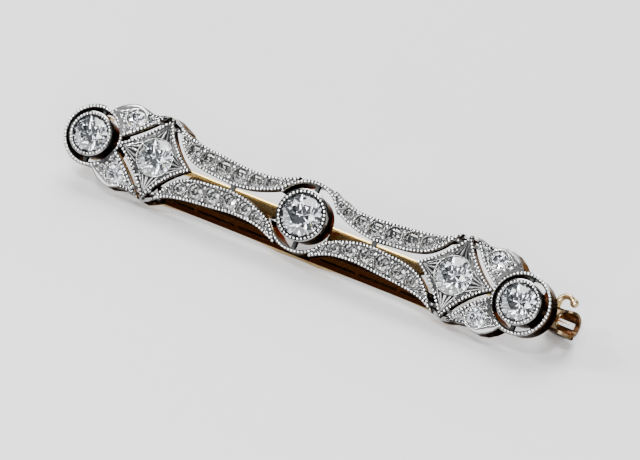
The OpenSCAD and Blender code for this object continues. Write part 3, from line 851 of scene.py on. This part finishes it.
class BROOCH_OT_leaf_borders(bpy.types.Operator):
    """Beaded borders of the side leaves, beside the stars and along their outer tips"""

    bl_idname = "brooch.leaf_borders"
    bl_label = "Leaf borders"

    def execute(self, context):
        """The first border stops where the plain crescent swells, and the second follows the
        star's side across the pierced line, less its two ends."""
        tip = spline(LEAF_OUTER_EDGE)[:34]
        beside = bowed(STAR_TIPS[2], STAR_TIPS[1], STAR_BOW)[5:-2] + STAR_TO_LEAF * PIERCED_LINE
        tip = beaded(tip, side=-1, skip=(0.2, 0.0))
        beside = beaded(beside, side=-1, skip=(0.1, 0.35))
        piece("leaf_borders", quarters(domed(joined([tip, beside]))))
        return {"FINISHED"}


class BROOCH_OT_ring_borders(bpy.types.Operator):
    """Beaded rims of the end rings and of the two arcs round the centre"""

    bl_idname = "brooch.ring_borders"
    bl_label = "Ring borders"

    def execute(self, context):
        sizes = face_sizes()
        inset_by, half_arc = 0.25, 62
        rim = spaced(circle((END_X, -RING_DROP), RING_R - inset_by), sizes.bead_spacing, closed=True)
        ring = copies(BEAD, rim, sizes.bead_radius * 1.15)
        arcs = []
        for middle in (90, 270):
            path = circle((0, 0), ARC_R, middle - half_arc, middle + half_arc, 40)
            arcs.append(copies(BEAD, spaced(path, sizes.bead_spacing), sizes.bead_radius * 1.1))
        piece("end_ring_beads", halves(level(ring, RIM_Z - 0.02)))
        piece("centre_arc_beads", level(joined(arcs), ARC_Z - 0.03))
        return {"FINISHED"}


def collet_rim(x, y, stone, wide, factor, relief_kept):
    """A collet's rim round a stone, given by its radius: a lip that leans in over the stone, and a row of
    beads on it that differ by a factor from those of the face. The lip keeps only a share of its relief,
    given as the last argument, and the rest is painted shade."""
    sizes = face_sizes()
    inner, outer, top = stone + SEAT_GAP, stone + wide, 0.006
    row = spaced(circle((x, y), inner + wide / 2.3), sizes.bead_spacing * factor, closed=True)
    beads = copies(BEAD, row, sizes.bead_radius * factor, -0.085 * factor)
    lip = turned(np.array([[outer, SUNK], [outer, top], [inner, top], [stone - 0.07, -0.1],
                           [stone - 0.05, -0.14]]), 72, poles=False)
    lip = copies(with_painted_shade(lip, relief_kept), np.array([[x, y]]), 1.0)
    return level(joined([beads, lip]), COLLET_Z)


class BROOCH_OT_collet_rims(bpy.types.Operator):
    """Beaded rims of the three collets, with the lip that holds each stone"""

    bl_idname = "brooch.collet_rims"
    bl_label = "Collet rims"

    def execute(self, context):
        centre = collet_rim(0.0, 0.0, CENTRE_D / 2, wide=0.43, factor=1.08, relief_kept=0.3)
        end = collet_rim(END_X, -RING_DROP, END_D / 2, wide=0.36, factor=0.95, relief_kept=0.4)
        piece("centre_collet_rim", centre)
        piece("end_collet_rims", halves(end))
        return {"FINISHED"}


def seat_rims(rows, factor):
    """Raised rims round stones given as x, y, diameter, wider by a factor: each a low wall with a
    level top, turned round its stone."""
    sizes = face_sizes()
    wide, high = sizes.rim_width * factor, sizes.rim_height
    rims = []
    for x, y, diameter in rows:
        r = diameter / 2
        profile = np.array([[r + 0.03, SUNK], [r + 0.02, 0.0], [r + wide * 0.4, high],
                            [r + wide * 0.75, high], [r + wide, 0.0], [r + wide, SUNK]])
        rims.append(copies(turned(profile, 32, poles=False), np.array([[x, y]]), 1.0))
    return joined(rims)


class BROOCH_OT_seats(bpy.types.Operator):
    """Raised rims round the stones that are set in the face"""

    bl_idname = "brooch.seats"
    bl_label = "Stone seats"

    def execute(self, context):
        # Painted shade: the arms' seat rims keep only 0.62 of their relief.
        arms = with_painted_shade(seat_rims(ARM_STONES, 1.0), 0.62)
        ends = seat_rims(ARM_END_STONES, 0.7)
        leaf = joined([seat_rims([(*LEAF_STONE, LEAF_D)], 1.2), seat_rims(LEAF_SIDE_STONES, 0.8)])
        star = seat_rims([(STAR_X, 0.0, STAR_D)], 1.1)
        piece("arm_seat_rims", quarters(domed(joined([arms, ends]))))
        piece("leaf_seat_rims", quarters(domed(leaf)))
        piece("star_seat_rims", halves(domed(star)))
        return {"FINISHED"}


def grains(rows, height=0.0):
    """Loose grains given as x, y, diameter."""
    return copies(GRAIN, rows, rows[:, 2] / 2, height)


class BROOCH_OT_grains(bpy.types.Operator):
    """Bright grains between the stones"""

    bl_idname = "brooch.grains"
    bl_label = "Grains"

    def execute(self, context):
        """The arms' grains stand in pairs beside the line of stones, halfway from one to the next."""
        middle = (ARM_STONES[1:, :2] + ARM_STONES[:-1, :2]) / 2
        side = left_turned(np.diff(ARM_STONES[:, :2], axis=0))
        angle = np.arctan2(side[:, 1], side[:, 0])
        aside, radius, height, stretch = 0.62, 0.17, 0.02, 1.15
        arms = [copies(GRAIN, middle + side * distance, radius, height, stretch, angle)
                for distance in (aside, -aside)]
        star = grains(STAR_GRAINS)
        piece("arm_grains", quarters(domed(joined([*arms, grains(ARM_TIP_GRAINS)]))))
        piece("leaf_grains", quarters(domed(grains(LEAF_GRAINS))))
        piece("star_grains", halves(domed(joined([star, mirrored(star, 1, -1)]))))
        return {"FINISHED"}


def bright_corner(turn, reach):
    """A plate in the corner of a star, turned by degrees. It runs between an arc round the stone and a point
    near the tip: straight lines from arc to point, with the arc's bulge fading as they near the point. Its
    height is a ridge along the middle with five fine lines that run with it, raised a little and painted
    bright, with painted shade between them."""
    radius, half_angle, bright_lines = 2.24, 36, 5
    u = np.linspace(0, 0.97, 18)[:, None]
    v = np.linspace(0, 1, 31)[None, :]
    angle = np.radians(turn + half_angle * (1 - 2 * v))
    arc = radius * np.stack([np.cos(angle), np.sin(angle)], 2)
    chord = arc[:, :1] * (1 - v[..., None]) + arc[:, -1:] * v[..., None]
    tip = reach * np.array([np.cos(np.radians(turn)), np.sin(np.radians(turn))])
    flat = chord * (1 - u[..., None]) + tip * u[..., None] + (arc - chord) * (1 - u[..., None]) ** 2
    ridge = 0.17 * (1 - np.abs(2 * v - 1)) * (1 - 0.55 * u)
    lines = np.broadcast_to(np.sin(bright_lines * np.pi * v) ** 2, ridge.shape)
    cut = slab(flat + np.array([STAR_X, 0.0]), 0.02 + ridge + 0.03 * lines * (1 - u))
    # Painted highlight on the five lines and painted shade between them.
    relief = 0.2 + 0.8 * lines.ravel() ** 1.5
    return cut._replace(relief=np.concatenate([relief, 0 * relief]))


class BROOCH_OT_star_corners(bpy.types.Operator):
    """Bright-cut plates in the corners of the stars, each a ridge from the stone to the tip"""

    bl_idname = "brooch.star_corners"
    bl_label = "Star corners"

    def execute(self, context):
        reaches = {0: 4.0, 90: 3.86, 180: 3.56, 270: 3.86}
        shape = joined([bright_corner(turn, reach) for turn, reach in reaches.items()])
        piece("star_bright_cuts", halves(domed(shape)), smooth=False)
        return {"FINISHED"}


class BROOCH_OT_leaf_crescents(bpy.types.Operator):
    """Plain polished crescents round the outside of the side leaves"""

    bl_idname = "brooch.leaf_crescents"
    bl_label = "Leaf crescents"

    def execute(self, context):
        """A band just inside the leaf's outer edge. Its width swells as a sine from end to end, most towards
        the ring, and its top is a low arch across. Its underside gets painted shade, and the upper right one
        gets more painted shade all over."""
        narrow, swell, foot, arch, relief_kept = 0.07, 0.58, 0.01, 0.08, 0.55
        edge = inset(spline(LEAF_OUTER_EDGE)[24:84], 0.1, side=-1)
        t = np.linspace(0, 1, len(edge))[:, None]
        s = np.linspace(0, 1, 9)[None, :]
        width = narrow + swell * np.sin(np.pi * t ** 2) ** 0.8
        flat = edge[:, None] - (width * s)[..., None] * left_of(edge)[:, None]
        top = foot + arch * np.sqrt(np.clip(1 - (2 * s - 1) ** 2, 0, 1)) * np.sin(np.pi * t) ** 0.5
        shape = slab(flat, top)
        shape = quarters(domed(shape._replace(relief=np.where(shape.relief > 0, 1.0, 0.0))))
        # Painted shade: the upper right crescent keeps only part of its relief.
        upper_right = (shape.points[:, 0] > 0) & (shape.points[:, 1] > 0)
        piece("leaf_crescents", with_painted_shade(shape, np.where(upper_right, relief_kept, 1.0)))
        return {"FINISHED"}


class BROOCH_OT_small_stones(bpy.types.Operator):
    """Small round stones beside the leaves' stones and at the ends of the arms"""

    bl_idname = "brooch.small_stones"
    bl_label = "Small stones"

    def execute(self, context):
        for name, rows, finish, slot in (
                ("leaf_side_stones", LEAF_SIDE_STONES, "Diamond", "diamond"),
                ("arm_end_stones", ARM_END_STONES, "Old-cut diamond", "old_cut_diamond")):
            shape = copies(brilliant(), rows, rows[:, 2], SMALL_STONE_Z)
            piece(name, quarters(domed(shape)), finish, smooth=False)
        return {"FINISHED"}


class BROOCH_OT_tie_dots(bpy.types.Operator):
    """A grain on each small bar that ties the pierced lines together"""

    bl_idname = "brooch.tie_dots"
    bl_label = "Tie grains"

    def execute(self, context):
        piece("tie_grains", quarters(domed(grains(TIE_GRAINS, -0.1))))
        return {"FINISHED"}


def softbox(name, size, power, place, aim=(0.0, 0.0, 0.005)):
    """A rectangular light at a place that shines at a point, its sides level."""
    light = bpy.data.lights.new(name, "AREA")
    light.shape = "RECTANGLE"
    light.size, light.size_y = size
    light.energy = power
    made = bpy.data.objects.new(name, light)
    bpy.context.scene.collection.objects.link(made)
    turn = (Vector(place) - Vector(aim)).to_track_quat("Z", "Y")
    made.matrix_world = Matrix.Translation(place) @ turn.to_matrix().to_4x4()


class BROOCH_OT_stage(bpy.types.Operator):
    """Plain pale floor, soft lights and the camera"""

    bl_idname = "brooch.stage"
    bl_label = "Stage"

    def execute(self, context):
        stage = context.scene.brooch_stage
        floor = bpy.data.meshes.new("floor")
        half = 1.6
        corners = [(half * x, half * y, 0) for x, y in ((-1, -1), (1, -1), (1, 1), (-1, 1))]
        floor.from_pydata(corners, [], [(0, 1, 2, 3)])
        new_material("Floor", {"Base Color": (*stage.floor, 1.0), "Roughness": 0.6})
        floor.materials.append(bpy.data.materials["Floor"])
        made = bpy.data.objects.new("floor", floor)
        context.scene.collection.objects.link(made)

        world = bpy.data.worlds.new("Room")
        world.use_nodes = True
        background = world.node_tree.nodes["Background"]
        background.inputs["Color"].default_value = (*stage.room_colour, 1.0)
        background.inputs["Strength"].default_value = stage.room
        context.scene.world = world

        for name, size, power, place in (
                ("key_softbox", (0.45, 0.58), stage.key, (-0.16, 0.26, 0.52)),
                ("front_softbox", (0.34, 0.22), stage.front, (0.32, -0.42, 0.40)),
                ("left_softbox", (0.22, 0.22), stage.fill, (-0.52, -0.12, 0.36)),
                ("right_softbox", (0.06, 0.30), stage.fill / 4, (0.50, 0.05, 0.18)),
                ("back_softbox", (0.50, 0.05), stage.fill / 2, (0.05, 0.45, 0.22))):
            softbox(name, size, power, place)
        for side, place in (("left", (-0.34, -0.20, 0.36)), ("low", (0.10, -0.50, 0.10)),
                            ("high", (0.02, -0.30, 0.42)), ("far_left", (-0.44, -0.22, 0.14)),
                            ("right", (0.24, -0.44, 0.20))):
            softbox(side + "_sparkle", (0.07, 0.05), stage.sparkle, place)

        lens = bpy.data.cameras.new("camera")
        lens.lens = 281.25
        lens.sensor_width = 36.0
        lens.clip_start = 0.01
        lens.clip_end = 20.0
        camera = bpy.data.objects.new("camera", lens)
        context.scene.collection.objects.link(camera)
        stand = Matrix.Translation(CAMERA_AIM)
        for degrees, axis in ((CAMERA_TURN, "Z"), (90 - CAMERA_RISE, "X"), (CAMERA_TILT, "Z")):
            stand = stand @ Matrix.Rotation(np.radians(degrees), 4, axis)
        camera.matrix_world = stand @ Matrix.Translation((0.0, 0.0, CAMERA_DISTANCE))
        context.scene.camera = camera
        return {"FINISHED"}


class BROOCH_PT_panel(bpy.types.Panel):
    """Lists the brooch's sizes, colours and steps"""

    bl_idname = "BROOCH_PT_panel"
    bl_label = "Diamond bar brooch"
    bl_space_type = "VIEW_3D"
    bl_region_type = "UI"
    bl_category = "Brooch"

    def draw(self, context):
        for group in (context.scene.brooch_sizes, context.scene.brooch_colours, context.scene.brooch_stage):
            for label in group.__annotations__:
                self.layout.prop(group, label)
        for step in STEPS:
            self.layout.operator(step.bl_idname)


GROUPS = (BroochSizes, BroochColours, BroochStage)
STEPS = (BROOCH_OT_solids, BROOCH_OT_arm_borders, BROOCH_OT_star_borders, BROOCH_OT_leaf_borders,
         BROOCH_OT_ring_borders, BROOCH_OT_collet_rims, BROOCH_OT_seats, BROOCH_OT_grains,
         BROOCH_OT_star_corners, BROOCH_OT_leaf_crescents, BROOCH_OT_small_stones, BROOCH_OT_tie_dots,
         BROOCH_OT_stage)


def register():
    for item in (*GROUPS, *STEPS, BROOCH_PT_panel):
        bpy.utils.register_class(item)
    bpy.types.Scene.brooch_sizes = bpy.props.PointerProperty(type=BroochSizes)
    bpy.types.Scene.brooch_colours = bpy.props.PointerProperty(type=BroochColours)
    bpy.types.Scene.brooch_stage = bpy.props.PointerProperty(type=BroochStage)


def unregister():
    del bpy.types.Scene.brooch_stage
    del bpy.types.Scene.brooch_colours
    del bpy.types.Scene.brooch_sizes
    for item in reversed((*GROUPS, *STEPS, BROOCH_PT_panel)):
        bpy.utils.unregister_class(item)


def main():
    """Registers the add-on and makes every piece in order."""
    register()
    for step in STEPS:
        family, name = step.bl_idname.split(".")
        getattr(getattr(bpy.ops, family), name)()


if __name__ == "__main__":
    main()
